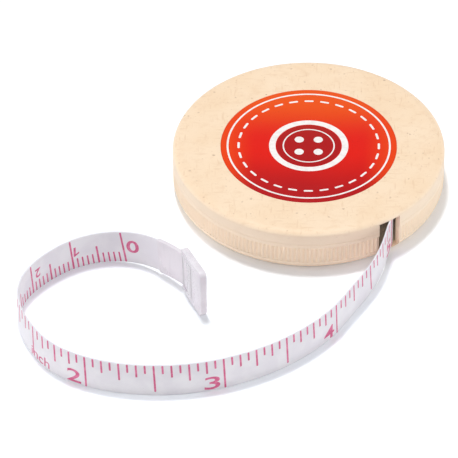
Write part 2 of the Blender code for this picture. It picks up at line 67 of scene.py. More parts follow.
def pick(piece, part, test):
    # leaves edit mode on, with the parts that pass the test selected; part is VERT or EDGE
    onlySelect(piece)
    bpy.ops.object.mode_set(mode="EDIT")
    bpy.ops.mesh.select_mode(type=part)
    bpy.ops.mesh.select_all(action="DESELECT")
    bpy.ops.object.mode_set(mode="OBJECT")
    mesh = piece.data
    if part == "VERT":
        for vert in mesh.vertices:
            vert.select = test(vert.co / mm)
    else:
        for edge in mesh.edges:
            a, b = (mesh.vertices[i].co / mm for i in edge.vertices)
            edge.select = test(a, b)
    bpy.ops.object.mode_set(mode="EDIT")


def useModifier(piece, kind, **values):
    onlySelect(piece)
    step = piece.modifiers.new(kind.lower(), kind)
    for key, value in values.items():
        setattr(step, key, value)
    bpy.ops.object.modifier_apply(modifier=step.name)


def bevelled(piece, test, offset, segments):
    # the edges that pass the test, rounded; offset in mm
    pick(piece, "EDGE", test)
    bpy.ops.mesh.bevel(offset=offset * mm, offset_type="OFFSET", segments=segments, affect="EDGES")
    bpy.ops.object.mode_set(mode="OBJECT")


def joined(name, pieces):
    onlySelect(pieces[0])
    for piece in pieces:
        piece.select_set(True)
    bpy.ops.object.join()
    return named(name)


def smoothed(piece, angle):
    onlySelect(piece)
    bpy.ops.object.shade_smooth_by_angle(angle=math.radians(angle))


def roundCorner(center, radius, start, end, steps):
    turns = [math.radians(start + (end - start) * i / steps) for i in range(steps + 1)]
    return [(center[0] + radius * math.cos(a), center[1] + radius * math.sin(a)) for a in turns]


def turnedBody(name, rings, steps, hollow=False):
    # a disc that is extruded and resized from ring to ring: (radius, z) in mm;
    # a hollow one ends on its first ring, and loses its first and last disc
    onlySelect(None)
    radius, z = rings[0]
    place = (0, 0, z * mm)
    bpy.ops.mesh.primitive_circle_add(vertices=steps, radius=radius * mm, fill_type="NGON", location=place)
    piece = named(name)
    bpy.ops.object.mode_set(mode="EDIT")
    bpy.ops.mesh.select_mode(type="FACE")
    bpy.ops.mesh.select_all(action="SELECT")
    for nextRadius, nextZ in rings[1:]:
        bpy.ops.mesh.extrude_region_move(TRANSFORM_OT_translate={"value": (0, 0, (nextZ - z) * mm)})
        grow = nextRadius / radius
        if grow != 1:
            bpy.ops.transform.resize(value=(grow, grow, 1), center_override=(0, 0, nextZ * mm))
        radius, z = nextRadius, nextZ
    if hollow:
        bpy.ops.mesh.select_all(action="DESELECT")
        bpy.ops.mesh.select_face_by_sides(number=4, type="GREATER")
        bpy.ops.mesh.delete(type="ONLY_FACE")
    bpy.ops.mesh.select_all(action="SELECT")
    bpy.ops.mesh.remove_doubles(threshold=1e-6)
    bpy.ops.mesh.normals_make_consistent(inside=False)
    bpy.ops.object.mode_set(mode="OBJECT")
    return piece


def flatOutline(name, places):
    # a filled flat curve through these places, in mm
    data = bpy.data.curves.new(name, "CURVE")
    data.dimensions = "2D"
    data.fill_mode = "BOTH"
    line = data.splines.new("POLY")
    line.points.add(len(places) - 1)
    for point, (x, y) in zip(line.points, places):
        point.co = (x * mm, y * mm, 0, 1)
    line.use_cyclic_u = True
    outline = bpy.data.objects.new(name, data)
    scene.collection.objects.link(outline)
    onlySelect(outline)
    return outline


def boxPiece(name, low, high, turn=0.0):
    # low and high in mm, then a turn about Z through the origin
    onlySelect(None)
    middle = [(a + b) / 2 * mm for a, b in zip(low, high)]
    bpy.ops.mesh.primitive_cube_add(size=1, location=middle, scale=[(b - a) * mm for a, b in zip(low, high)])
    piece = named(name)
    if turn:
        piece.rotation_euler = (0, 0, turn)
        settle(piece)
    return piece


def cutWith(piece, cutter):
    useModifier(piece, "BOOLEAN", operation="DIFFERENCE", solver="EXACT", object=cutter)
    bpy.data.objects.remove(cutter, do_unlink=True)


def wayThrough(name, points):
    # a curve that strips and prints are bent along
    data = bpy.data.curves.new(name, "CURVE")
    data.dimensions = "3D"
    data.twist_mode = "Z_UP"
    data.use_deform_bounds = False
    line = data.splines.new("POLY")
    line.points.add(len(points) - 1)
    for point, place in zip(line.points, points):
        point.co = (*place, 1)
    way = bpy.data.objects.new(name, data)
    scene.collection.objects.link(way)
    return way


def bentAlong(piece, way):
    useModifier(piece, "CURVE", object=way, deform_axis="POS_X")


def mapped(piece):
    # keeps how far along and how high each point is, in metres, for patterns that follow the strip
    layers = piece.data.uv_layers
    layer = layers[0] if layers else layers.new(name="UVMap")
    for loop in piece.data.loops:
        co = piece.data.vertices[loop.vertex_index].co
        layer.data[loop.index].uv = (co.x, co.z)


def alongX(a, b):
    return abs(a.x - b.x) > sameSpot


def alongY(a, b):
    return abs(a.y - b.y) > sameSpot


def alongZ(a, b):
    return abs(a.z - b.z) > sameSpot


def stripPiece(name, start, end, low, high, thickness, edge, cuts):
    # a long flat strip on its edge along X, its long edges rounded, then cut across cuts[0] x cuts[1] times
    piece = boxPiece(name, (start, -thickness / 2, low), (end, thickness / 2, high))
    bevelled(piece, alongX, edge, 2)
    for count in cuts:
        pick(piece, "EDGE", alongX)
        bpy.ops.mesh.subdivide(number_cuts=count)
    bpy.ops.object.mode_set(mode="OBJECT")
    mapped(piece)
    return piece


view = {
    "elevation": math.radians(40),
    "distance": 1.5,
    "frameWidth": 0.08456,  # what the frame spans at the case
    "aim": (-0.01459, -0.00857),  # right and up of the case's axis, as the camera sees it
    "sensor": 36,
    "clip": (0.05, 20),
}
upWay = Vector((0, math.sin(view["elevation"]), math.cos(view["elevation"])))
backWay = Vector((0, -math.cos(view["elevation"]), math.sin(view["elevation"])))
cameraPlace = backWay * view["distance"]
aimPlace = Vector((1, 0, 0)) * view["aim"][0] + upWay * view["aim"][1]
bpy.ops.object.camera_add(location=cameraPlace)
camera = bpy.context.object
camera.name = "mainCamera"
camera.data.sensor_width = view["sensor"]
camera.data.lens = view["sensor"] * view["distance"] / view["frameWidth"]
camera.data.clip_start, camera.data.clip_end = view["clip"]
camera.rotation_euler = (aimPlace - cameraPlace).to_track_quat("-Z", "Y").to_euler()
scene.camera = camera
print("camera set")


tapeLook = {
    "width": 7.0,
    "thickness": 0.25,
    "edge": 0.06,
    "low": 1.05,  # height of its lower edge in the slot
    "lead": ((15.5, -0.5), (15.5, -15.0)),  # the straight run that leaves the wound tape
    "leadPoints": 30,
    "cuts": (99, 3),
    "step": 0.5,
    "pastEnd": 12,  # how far its way goes on for the tab
}
# seen from above, in mm, and how far the lower edge has dropped there
tapeRoute = (
    (15.4, -17.5, 0.0),
    (14.68, -20.85, 0.05),
    (13.95, -24.09, 0.24),
    (12.75, -28.1, 0.55),
    (11.15, -31.73, 0.78),
    (8.6, -36.32, 0.91),
    (5.6, -41.62, 0.97),
    (2.2, -46.05, 0.98),
    (-2.4, -50.38, 0.99),
    (-8.6, -54.49, 0.99),
    (-16.5, -57.79, 0.99),
    (-25.0, -59.3, 0.99),
    (-33.0, -58.95, 0.99),
    (-40.5, -56.78, 0.98),
    (-46.4, -52.77, 0.97),
    (-50.4, -46.6, 0.97),
    (-52.3, -39.88, 0.97),
    (-51.1, -34.01, 0.97),
    (-47.6, -28.99, 0.97),
    (-42.4, -24.76, 0.97),
    (-36.8, -22.83, 0.93),
    (-31.4, -23.31, 0.71),
    (-26.9, -25.97, 0.18),
    (-22.9, -29.7, -0.37),
)


def smoothRoute(points, spacing):
    # even points on the natural cubic spline through these
    knots = np.array(points, float)
    at = np.r_[0.0, np.cumsum(np.linalg.norm(np.diff(knots, axis=0), axis=1))]
    gaps = np.diff(at)
    count = len(knots)
    system = np.eye(count)
    right = np.zeros_like(knots)
    for i in range(1, count - 1):
        system[i, i - 1 : i + 2] = gaps[i - 1], 2 * (gaps[i - 1] + gaps[i]), gaps[i]
        slopes = np.diff(knots[i - 1 : i + 2], axis=0) / gaps[i - 1 : i + 1, None]
        right[i] = 6 * (slopes[1] - slopes[0])
    bend = np.linalg.solve(system, right)
    here = np.linspace(0.0, at[-1], round(at[-1] / spacing) + 1)
    i = np.clip(np.searchsorted(at, here, side="right") - 1, 0, count - 2)
    after = (here - at[i])[:, None]
    before = (at[i + 1] - here)[:, None]
    gap = gaps[i][:, None]
    cubic = (bend[i] * before**3 + bend[i + 1] * after**3) / (6 * gap)
    fromLast = (knots[i] / gap - bend[i] * gap / 6) * before
    toNext = (knots[i + 1] / gap - bend[i + 1] * gap / 6) * after
    return cubic + fromLast + toNext


free = np.array(tapeRoute)
free[:, 2] = tapeLook["low"] - free[:, 2]
leadStart, leadEnd = (np.array([*place, tapeLook["low"]]) for place in tapeLook["lead"])
curved = smoothRoute(np.vstack([leadEnd, free]), tapeLook["step"])
tapePoints = np.vstack([np.linspace(leadStart, leadEnd, tapeLook["leadPoints"])[:-1], curved])
tapeLength = float(np.linalg.norm(np.diff(tapePoints, axis=0), axis=1).sum())
tapeEndWay = tapePoints[-1, :2] - tapePoints[-2, :2]
tapeEndWay /= np.linalg.norm(tapeEndWay)
pastEnd = tapePoints[-1] + np.array([*(tapeEndWay * tapeLook["pastEnd"]), 0.0])
tapeWay = wayThrough("tapeWay", np.vstack([tapePoints, pastEnd]) * mm)

tape = stripPiece(
    "tapeRibbon",
    0,
    tapeLength,
    0,
    tapeLook["width"],
    tapeLook["thickness"],
    tapeLook["edge"],
    tapeLook["cuts"],
)
bentAlong(tape, tapeWay)
smoothed(tape, 50)
print("tape bent along its loop,", round(tapeLength, 1), "mm")


inkLook = {
    "raise": 0.018,  # how far the ink stands off the tape
    "sink": 0.01,
    "line": 0.36,
    "fineLine": 0.29,
    "margin": 0.05,  # from the tape's edge to the ticks
    "roundness": 0.3,  # of a tick's corners, as a share of its width
}
# where each scale starts along the tape, its face (1 outer, -1 inner) and how far its ticks lean, in degrees
inchStart = {"zero": 145.6, "side": 1, "lean": 3.0}
cmStart = {"zero": 145.5, "side": -1, "lean": -7.5}
halfTape = tapeLook["thickness"] / 2
inkDepths = (halfTape - inkLook["sink"], halfTape + inkLook["raise"])
inkMiddle = sum(inkDepths) / 2
inkThickness = inkDepths[1] - inkDepths[0]


def tickRow(name, start, low, high, first, spacing, count, width):
    # one tick, copied along the strip away from zero
    onlySelect(None)
    lean = math.radians(start["lean"])
    middle = (low + high) / 2
    shift = (middle - tapeLook["width"] / 2) * math.tan(lean)
    place = (start["zero"] - first + shift, start["side"] * inkMiddle, middle)
    bpy.ops.mesh.primitive_cube_add(size=1, location=[v * mm for v in place], rotation=(0, lean, 0))
    bpy.context.object.scale = (width * mm, inkThickness * mm, (high - low) * mm)
    piece = named(name)
    bevelled(piece, alongY, width * inkLook["roundness"], 2)
    if count > 1:
        useModifier(
            piece,
            "ARRAY",
            count=count,
            use_relative_offset=False,
            use_constant_offset=True,
            constant_offset_displace=(-spacing * mm, 0, 0),
        )
    return piece


# a 1 with a flag, because the built-in one is a bare bar
flaggedOne = ((0.62, 0), (1, 0), (1, 2), (0.7, 2), (0, 1.5), (0, 1.2), (0.62, 1.55))


def printedText(name, words, side, x, z, size, thicker, fit):
    # upright on the outer face, upside down on the inner; fit is the width and height it is brought to
    onlySelect(None)
    if words == "1":
        text = flatOutline("flaggedOne", flaggedOne)
    else:
        bpy.ops.object.text_add()
        text = bpy.context.object
        text.data.body = words
        text.data.size = size * mm
        text.data.align_x = "CENTER"
        text.data.align_y = "CENTER"
        text.data.offset = thicker * mm
        text.data.resolution_u = 6
    text.data.extrude = inkThickness / 2 * mm
    bpy.ops.object.convert(target="MESH")
    text = bpy.context.object
    settle(text)
    corners = [v.co for v in text.data.vertices]
    low = [min(c[i] for c in corners) for i in range(2)]
    high = [max(c[i] for c in corners) for i in range(2)]
    text.location = (-(low[0] + high[0]) / 2, -(low[1] + high[1]) / 2, 0)
    settle(text)
    text.scale = (fit[0] * mm / (high[0] - low[0]), fit[1] * mm / (high[1] - low[1]), 1)
    settle(text)
    text.rotation_euler = (side * math.radians(90), 0, math.radians(180))
    text.location = (x * mm, side * inkMiddle * mm, z * mm)
    piece = named(name)
    bpy.ops.object.mode_set(mode="EDIT")
    bpy.ops.mesh.select_all(action="SELECT")
    bpy.ops.mesh.remove_doubles(threshold=1e-7)
    bpy.ops.mesh.quads_convert_to_tris()
    bpy.ops.mesh.subdivide(number_cuts=2)
    bpy.ops.object.mode_set(mode="OBJECT")
    return piece


inch = 25.4
inchTicks = (
    # name, height, first, spacing, count
    ("sixteenths", 1.9, inch / 16, inch / 8, 45),
    ("eighths", 2.8, inch / 8, inch / 4, 22),
    ("quarters", 3.85, inch / 4, inch / 2, 11),
    ("halves", 6.1, inch / 2, inch, 5),
    ("inches", 6.85, 0, inch, 6),
)
# past is how far a digit's middle is from its tick, and one is a 1's share of the width and its own past
inchDigits = {"z": 1.78, "size": 4.1, "thicker": 0.04, "fit": (2.9, 2.95), "past": 2.25, "one": (0.5, 1.5)}
inchWord = {"z": 1.35, "size": 2.5, "thicker": 0.0, "fit": (5.6, 2.0), "inches": 1.585}


def printedAs(name, words, start, x, look, share=1.0):
    # share is how much of the look's width these words take
    wide, tall = look["fit"]
    fit = (wide * share, tall)
    return printedText(name, words, start["side"], x, look["z"], look["size"], look["thicker"], fit)


top = tapeLook["width"] - inkLook["margin"]
inchPieces = [
    tickRow(name, inchStart, top - tall, top, first, gap, count, inkLook["line"])
    for name, tall, first, gap, count in inchTicks
]
for number in range(1, 6):
    share, past = inchDigits["one"] if number == 1 else (1.0, inchDigits["past"])
    at = inchStart["zero"] - number * inch + past
    inchPieces.append(printedAs("inchNumber", str(number), inchStart, at, inchDigits, share))
at = inchStart["zero"] - inchWord["inches"] * inch
inchPieces.append(printedAs("inchWord", "inch", inchStart, at, inchWord))
inchScale = joined("inchScale", inchPieces)
bentAlong(inchScale, tapeWay)

cmTicks = [
    # name, height, first, count, width
    ("fives", 4.05, 5, 14, inkLook["line"]),
    ("tens", 6.85, 0, 15, inkLook["line"]),
]
cmTicks += [("singles", 2.3, first, 14, inkLook["fineLine"]) for first in (1, 2, 3, 4, 6, 7, 8, 9)]
zeroDigit = {"z": 3.75, "size": 4.1, "thicker": 0.07, "fit": (2.55, 2.8), "past": 1.95}
cmDigits = {
    "z": 4.0,
    "size": 3.0,
    "thicker": 0.05,
    "fit": (1.45, 2.1),
    "past": 1.0,  # here it is to the number's nearer end
    "one": (0.8, 0.4),
    "twoDigits": 1.75,
}

bottom = inkLook["margin"]
cmPieces = [
    tickRow(name, cmStart, bottom, bottom + tall, first, 10, count, width)
    for name, tall, first, count, width in cmTicks
]
cmPieces.append(printedAs("cmNumber", "0", cmStart, cmStart["zero"] + zeroDigit["past"], zeroDigit))
for number in range(1, 15):
    share, past = cmDigits["one"] if number == 1 else (1.0, cmDigits["past"])
    if number > 9:
        share = cmDigits["twoDigits"]
    at = cmStart["zero"] - number * 10 + past + cmDigits["fit"][0] * share / 2
    cmPieces.append(printedAs("cmNumber", str(number), cmStart, at, cmDigits, share))
cmScale = joined("cmScale", cmPieces)
bentAlong(cmScale, tapeWay)
print("scales printed")


tabLook = {
    "length": 8.45,
    "height": 10.0,
    "thickness": 1.3,
    "foot": 0.1,
    "turn": -20.0,
    "setIn": 0.9,
    "shoulder": 0.9,
    "lowCorner": 1.0,
    "heel": (4.4, 1.0),  # how far the lower edge slopes up to the sleeve
    "sleeve": 5.2,
    "sleeveDepth": 0.8,
    "sleeveRim": 0.15,
    "sleeveEdge": 0.15,
    "edge": 0.18,
    "channel": (2.6, 4.4),  # where the pressed channel ends, and where the pad after it ends
    "sunk": 0.3,
    "padRise": 0.15,
    "padEdge": 0.14,
}
tapeEndLow = float(tapePoints[-1, 2])


def tabOutline():
    low = tabLook["foot"] - tapeEndLow
    high = low + tabLook["height"]
    far = tabLook["length"]
    shoulder, lowCorner = tabLook["shoulder"], tabLook["lowCorner"]
    heelLength, heelRise = tabLook["heel"]
    heelHigh = low + heelRise
    places = [(0.0, heelHigh + 0.2), (0.06, heelHigh + 0.06)]
    places += [(heelLength - 0.4, low + 0.04), (heelLength + 0.2, low)]
    places += roundCorner((far - lowCorner, low + lowCorner), lowCorner, -90, 0, 8)
    places += roundCorner((far - shoulder, high - shoulder), shoulder, 0, 90, 6)
    places += roundCorner((shoulder, high - shoulder), shoulder, 90, 180, 6)
    return places


def onPlate(piece):
    piece.rotation_euler = (0, 0, math.radians(tabLook["turn"]))
    piece.location = ((tapeLength + tabLook["setIn"]) * mm, 0, 0)
    settle(piece)


def tabPlate():
    # the outline has its own rounded edge, and becomes a mesh before it is stood up
    plate = flatOutline("tabPlate", tabOutline())
    plate.data.bevel_depth = tabLook["edge"] * mm
    plate.data.bevel_resolution = 3
    plate.data.offset = -tabLook["edge"] * mm
    plate.data.extrude = (tabLook["thickness"] / 2 - tabLook["edge"]) * mm
    bpy.ops.object.convert(target="MESH")
    plate = bpy.context.object
    plate.rotation_euler = (math.radians(90), 0, 0)
    settle(plate)
    bpy.ops.object.mode_set(mode="EDIT")
    bpy.ops.mesh.select_all(action="SELECT")
    bpy.ops.mesh.remove_doubles(threshold=2e-6)
    bpy.ops.mesh.normals_make_consistent(inside=False)
    bpy.ops.object.mode_set(mode="OBJECT")
    onPlate(plate)
    return named("tabPlate")


plate = tabPlate()
sleeveLow, sleeveHigh = -tabLook["sleeveRim"], tapeLook["width"] + tabLook["sleeveRim"]
face = tabLook["thickness"] / 2
channelEnd, padEnd = tabLook["channel"]
channelFloor = -face + tabLook["sunk"]
channel = boxPiece("tabChannel", (-1, -face - 0.5, sleeveLow), (channelEnd, channelFloor, sleeveHigh))
onPlate(channel)
cutWith(plate, channel)
sleeve = stripPiece(
    "tabSleeve",
    tapeLength - tabLook["sleeve"],
    tapeLength + tabLook["setIn"] + 0.5,
    sleeveLow,
    sleeveHigh,
    tabLook["sleeveDepth"],
    tabLook["sleeveEdge"],
    (9,),
)
# the strip's end lies on the plate, past a pressed seam
padFace = -face - tabLook["padRise"]
tongue = boxPiece("tabTongue", (channelEnd, padFace, sleeveLow), (padEnd, -face + 0.2, sleeveHigh))
bevelled(tongue, lambda a, b: True, tabLook["padEdge"], 3)
onPlate(tongue)
endTab = joined("endTab", [plate, sleeve, tongue])
bentAlong(endTab, tapeWay)
smoothed(endTab, 40)
print("tab made")


caseLook = {
    "radius": 25.0,
    "height": 9.0,
    "sideWall": 1.3,
    "floor": 0.9,
    "roof": 0.8,
    "topEdge": (1.7, 0.9),  # how far the rounded rim reaches in and down
    "bottomEdge": 2.4,
    "skirt": 6.22,  # the parting line's upper side
    "baseTop": 6.2,
    "ribs": 196,
    "ribDepth": 0.28,
    "ribZone": (2.1, 5.28),
    "slotAngle": 36.755,
    "slotWidth": 4.6,
    "slotEnds": (15.2, 26.3),  # from the axis
    "slotTop": 8.1,
    "slotFloor": 0.95,
    "recess": (16.23, 0.25),  # the printed panel's: radius and depth
    "lip": (22.8, 23.6, 5.0),  # it holds the base: inner and outer radius, and its lower edge
    "arbor": (4.5, 5.2, 3.9),  # inner and outer radius, and its lower edge
    "cutLow": 3.6,  # lower than all that hangs from the roof
    "keySlot": (5.35, 0.65, 5.86),  # the brake disc's: half its length, half its width and its top
    "hookSlot": (4.2, 5.35, 0.35, 7.7),  # the mainspring's: its ends, half its width and its top
    "buttonHole": 8.6,
    "bearing": (9.2, 9.85, 2.8),  # the reel turns on it: inner and outer radius, and its top
}
radius = caseLook["radius"]
inside = radius - caseLook["sideWall"]


def slotCutter(name, reach, width, low, high):
    start, turn = caseLook["slotEnds"][0], math.radians(caseLook["slotAngle"])
    return boxPiece(name, (-width / 2, -reach, low), (width / 2, -start, high), turn)


def makeCaseTop():
    inwards, down = caseLook["topEdge"]
    high, skirt = caseLook["height"], caseLook["skirt"]
    under = high - caseLook["roof"]
    recess, depth = caseLook["recess"]
    lipIn, lipOut, lipLow = caseLook["lip"]
    arborIn, arborOut, arborLow = caseLook["arbor"]
    rings = [(recess, high - depth), (recess, high - 0.03), (recess + 0.03, high)]
    rim = roundCorner((0, 0), 1, 90, 0, 14)
    rings += [(radius + (x - 1) * inwards, high + (z - 1) * down) for x, z in rim]
    rings += [(radius, skirt + 0.05), (radius - 0.05, skirt), (lipOut, skirt)]
    rings += [(lipOut, lipLow + 0.1), (lipOut - 0.1, lipLow), (lipIn + 0.1, lipLow), (lipIn, lipLow + 0.1)]
    rings += [(lipIn, under), (arborOut, under), (arborOut, arborLow), (arborIn, arborLow), (arborIn, under)]
    top = turnedBody("caseTop", rings, 256)
    cutLow, slotTop = caseLook["cutLow"], caseLook["slotTop"]
    cutWith(top, slotCutter("slotCut", caseLook["slotEnds"][1], caseLook["slotWidth"], cutLow, slotTop))
    # the lip stays clear of the slot on both sides
    cutWith(top, slotCutter("lipCut", lipOut + 0.025, 2 * caseLook["slotWidth"], cutLow, slotTop))
    reach, half, keyTop = caseLook["keySlot"]
    cutWith(top, boxPiece("keyCut", (-reach, -half, cutLow), (reach, half, keyTop)))
    start, end, half, hookTop = caseLook["hookSlot"]
    cutWith(top, boxPiece("hookCut", (-half, start, cutLow), (half, end, hookTop)))
    smoothed(top, 30)
    return top


def makeCaseBase():
    edge = caseLook["bottomEdge"]
    ribbed = radius - 0.05
    high = caseLook["baseTop"]
    ribsLow, ribsHigh = caseLook["ribZone"]
    rings = [(radius - 0.05, high), (radius, high - 0.05), (radius, ribsHigh + 0.07), (ribbed, ribsHigh)]
    rings += [(ribbed, ribsLow), (ribbed, ribsLow - 0.08)]
    rings += roundCorner((radius - edge, edge), edge, -12, -90, 10)
    hole, bottom = caseLook["buttonHole"], caseLook["floor"]
    bearingIn, bearingOut, bearingHigh = caseLook["bearing"]
    rings += [(hole + 0.3, 0), (hole + 0.09, 0.09), (hole, 0.3), (hole, bottom)]
    rings += [(bearingIn, bottom), (bearingIn, bearingHigh), (bearingOut, bearingHigh), (bearingOut, bottom)]
    rings += [(inside - 0.5, bottom), (inside, bottom + 0.5), (inside, high), rings[0]]
    base = turnedBody("caseBase", rings, 4 * caseLook["ribs"], hollow=True)

    # four columns of points to a rib: the first is the groove's middle, the next and the last its flanks
    def ribPlace(co):
        turn = math.degrees(math.atan2(co.y, co.x)) / 360 * 4 * caseLook["ribs"]
        return round(turn) % 4

    def onWall(co):
        return ribsLow - 0.05 < co.z < ribsHigh + 0.02 and math.hypot(co.x, co.y) > ribbed - 0.01

    for share, places in ((1.0, (0,)), (0.4, (1, 3))):
        pick(base, "VERT", lambda co: onWall(co) and ribPlace(co) in places)
        sink = 1 - share * caseLook["ribDepth"] / ribbed
        bpy.ops.transform.resize(value=(sink, sink, 1), center_override=(0, 0, 0))
        bpy.ops.object.mode_set(mode="OBJECT")
    slotFloor, reach = caseLook["slotFloor"], caseLook["slotEnds"][1]
    cutWith(base, slotCutter("slotCut", reach, caseLook["slotWidth"], slotFloor, caseLook["height"]))
    smoothed(base, 40)
    return base


caseTop = makeCaseTop()
caseBase = makeCaseBase()
print("case made")


discLook = {"radius": 16.2, "low": 8.8, "high": 9.0, "edge": 0.07}
motifLook = {
    "raise": 0.012,
    "sink": 0.01,
    "ringSteps": 160,
    "dotSteps": 40,
    "borderRing": (14.75, 15.1),
    "stitches": 28,
    "stitchRadius": 12.9,
    "stitch": (1.7, 0.42),
    "buttonRing": (6.1, 7.3),
    "innerRing": (4.55, 4.8),
    "hole": 0.85,
    "holePlace": 1.75,
}
motifLow, motifHigh = discLook["high"] - motifLook["sink"], discLook["high"] + motifLook["raise"]
edge = discLook["edge"]
corner = (discLook["radius"] - edge, discLook["high"] - edge)
rings = [(discLook["radius"], discLook["low"]), (discLook["radius"], corner[1])]
rings += roundCorner(corner, edge, 0, 90, 3)[1:]
disc = turnedBody("printedPanel", rings, 192)
smoothed(disc, 60)


def flatRing(name, inner, outer):
    rings = [(outer, motifLow), (outer, motifHigh), (inner, motifHigh), (inner, motifLow), (outer, motifLow)]
    return turnedBody(name, rings, motifLook["ringSteps"], hollow=True)


def flatDot(name, dotRadius, place):
    dot = turnedBody(name, [(dotRadius, motifLow), (dotRadius, motifHigh)], motifLook["dotSteps"])
    dot.location = (place[0] * mm, place[1] * mm, 0)
    settle(dot)
    return dot


def stitchRing():
    long, wide = motifLook["stitch"]
    stitch = boxPiece("stitch", (-long / 2, -wide / 2, motifLow), (long / 2, wide / 2, motifHigh))
    bevelled(stitch, alongZ, wide * 0.45, 4)
    stitch.location = (0, motifLook["stitchRadius"] * mm, 0)
    settle(stitch)
    copies = []
    for i in range(motifLook["stitches"]):
        copy = stitch.copy()
        copy.data = stitch.data.copy()
        scene.collection.objects.link(copy)
        copy.rotation_euler = (0, 0, 2 * math.pi * i / motifLook["stitches"])
        settle(copy)
        copies.append(copy)
    bpy.data.objects.remove(stitch, do_unlink=True)
    return joined("stitches", copies)


spot = motifLook["holePlace"]
motifPieces = [flatRing(name, *motifLook[name]) for name in ("borderRing", "buttonRing", "innerRing")]
motifPieces.append(stitchRing())
for place in ((-spot, -spot), (-spot, spot), (spot, -spot), (spot, spot)):
    motifPieces.append(flatDot("buttonHole", motifLook["hole"], place))
motif = joined("panelMotif", motifPieces)
print("panel printed")


buttonLook = {
    "radius": 8.4,
    "low": 0.3,
    "dish": (7.8, 0.35),  # radius and depth
    "flange": (9.1, 1.0, 1.5),  # radius, lower side and upper side
    "stem": (2.1, 3.91),  # radius and top
}
stem, stemHigh = buttonLook["stem"]
flange, flangeLow, flangeHigh = buttonLook["flange"]
faceRadius, faceLow = buttonLook["radius"], buttonLook["low"]
dish, deep = buttonLook["dish"]
rings = [(stem, stemHigh), (stem, flangeHigh + 0.2), (stem + 0.2, flangeHigh)]
rings += [(flange - 0.05, flangeHigh), (flange, flangeHigh - 0.05), (flange, flangeLow)]
rings += [(faceRadius, flangeLow), (faceRadius, faceLow + 0.3), (faceRadius - 0.09, faceLow + 0.09)]
rings += [(faceRadius - 0.3, faceLow), (faceRadius - 0.55, faceLow)]
rings += [(dish * s, faceLow + deep * (1 - s * s)) for s in (0.96, 0.88, 0.78, 0.66, 0.52, 0.38, 0.24, 0.1)]
button = turnedBody("pushButton", rings, 128)
smoothed(button, 40)
print("button made")


woundLook = {
    "turns": 17,
    "radii": (11.12, 15.07),
    "start": math.pi,
    "zone": (1.05, 8.05),
    "thickness": 0.2,
    "cuts": (99, 12),
    "hook": (),
}
springLook = {
    "turns": 7,
    "radii": (5.5, 9.4),
    "start": math.pi / 2,
    "zone": (3.75, 7.55),
    "thickness": 0.15,
    "cuts": (99, 4),
    "hook": ((0.0, 4.65),),  # its end in the arbor, before the first turn
}
spiralLook = {"steps": 96, "edge": 0.3}  # points to a turn, and the rounded edge as a share of the thickness


def spiralStrip(name, look):
    # clockwise from above as it grows
    turns, thickness = look["turns"], look["thickness"]
    inner, outer = look["radii"]
    low, high = look["zone"]
    steps = turns * spiralLook["steps"]
    points = [(x, y, low) for x, y in look["hook"]]
    for i in range(steps + 1):
        r = inner + (outer - inner) * i / steps
        a = look["start"] - 2 * math.pi * turns * i / steps
        points.append((r * math.cos(a), r * math.sin(a), low))
    way = wayThrough(name + "Way", np.array(points) * mm)
    long = float(np.linalg.norm(np.diff(np.array(points), axis=0), axis=1).sum())
    strip = stripPiece(name, 0, long, 0, high - low, thickness, thickness * spiralLook["edge"], look["cuts"])
    bentAlong(strip, way)
    smoothed(strip, 50)
    bpy.data.objects.remove(way, do_unlink=True)
    return strip


woundTape = spiralStrip("woundTape", woundLook)
mainSpring = spiralStrip("mainSpring", springLook)
print("spirals wound")
bpy.data.objects.remove(tapeWay, do_unlink=True)


def srgb(r, g, b):
    parts = [v / 255 for v in (r, g, b)]
    return (*[v / 12.92 if v <= 0.04045 else ((v + 0.055) / 1.055) ** 2.4 for v in parts], 1.0)


def addNode(tree, kind, inputs=None, **settings):
    node = tree.nodes.new(kind)
    for key, value in settings.items():
        setattr(node, key, value)
    for key, value in (inputs or {}).items():
        if isinstance(value, bpy.types.NodeSocket):
            tree.links.new(value, node.inputs[key])
        else:
            node.inputs[key].default_value = value
    return node


def maths(tree, operation, a, b=0.0, c=0.0):
    return addNode(tree, "ShaderNodeMath", {0: a, 1: b, 2: c}, operation=operation).outputs[0]


def vectorMaths(tree, operation, a, b):
    return addNode(tree, "ShaderNodeVectorMath", {0: a, 1: b}, operation=operation).outputs[0]


def ramp(tree, value, low, high, toLow=0.0, toHigh=1.0):
    # a soft step of the value from low to high
    inputs = {"Value": value, "From Min": low, "From Max": high, "To Min": toLow, "To Max": toHigh}
    return addNode(tree, "ShaderNodeMapRange", inputs, interpolation_type="SMOOTHSTEP").outputs["Result"]


def blended(tree, factor, a, b):
    node = addNode(tree, "ShaderNodeMix", data_type="RGBA")
    sockets = {s.identifier: s for s in node.inputs}
    for key, value in (("Factor_Float", factor), ("A_Color", a), ("B_Color", b)):
        if isinstance(value, bpy.types.NodeSocket):
            tree.links.new(value, sockets[key])
        else:
            sockets[key].default_value = value
    return next(s for s in node.outputs if s.identifier == "Result_Color")


def noise(tree, vector, scale, detail=2.0, rough=0.5):
    inputs = {"Vector": vector, "Scale": scale, "Detail": detail, "Roughness": rough}
    return addNode(tree, "ShaderNodeTexNoise", inputs).outputs["Fac"]


def stretched(tree, vector, scale, turn=(0, 0, 0)):
    inputs = {"Vector": vector, "Scale": scale, "Rotation": [math.radians(v) for v in turn]}
    return addNode(tree, "ShaderNodeMapping", inputs).outputs["Vector"]


def newGroup(name, inputs, outputs):
    group = bpy.data.node_groups.new(name, "ShaderNodeTree")
    for label, kind, value in inputs:
        socket = group.interface.new_socket(name=label, in_out="INPUT", socket_type=kind)
        if value is not None:
            socket.default_value = value
    for label, kind in outputs:
        group.interface.new_socket(name=label, in_out="OUTPUT", socket_type=kind)
    return group, group.nodes.new("NodeGroupInput").outputs, group.nodes.new("NodeGroupOutput").inputs


def filledGroup(tree, group, inputs):
    return addNode(tree, "ShaderNodeGroup", inputs, node_tree=group).outputs


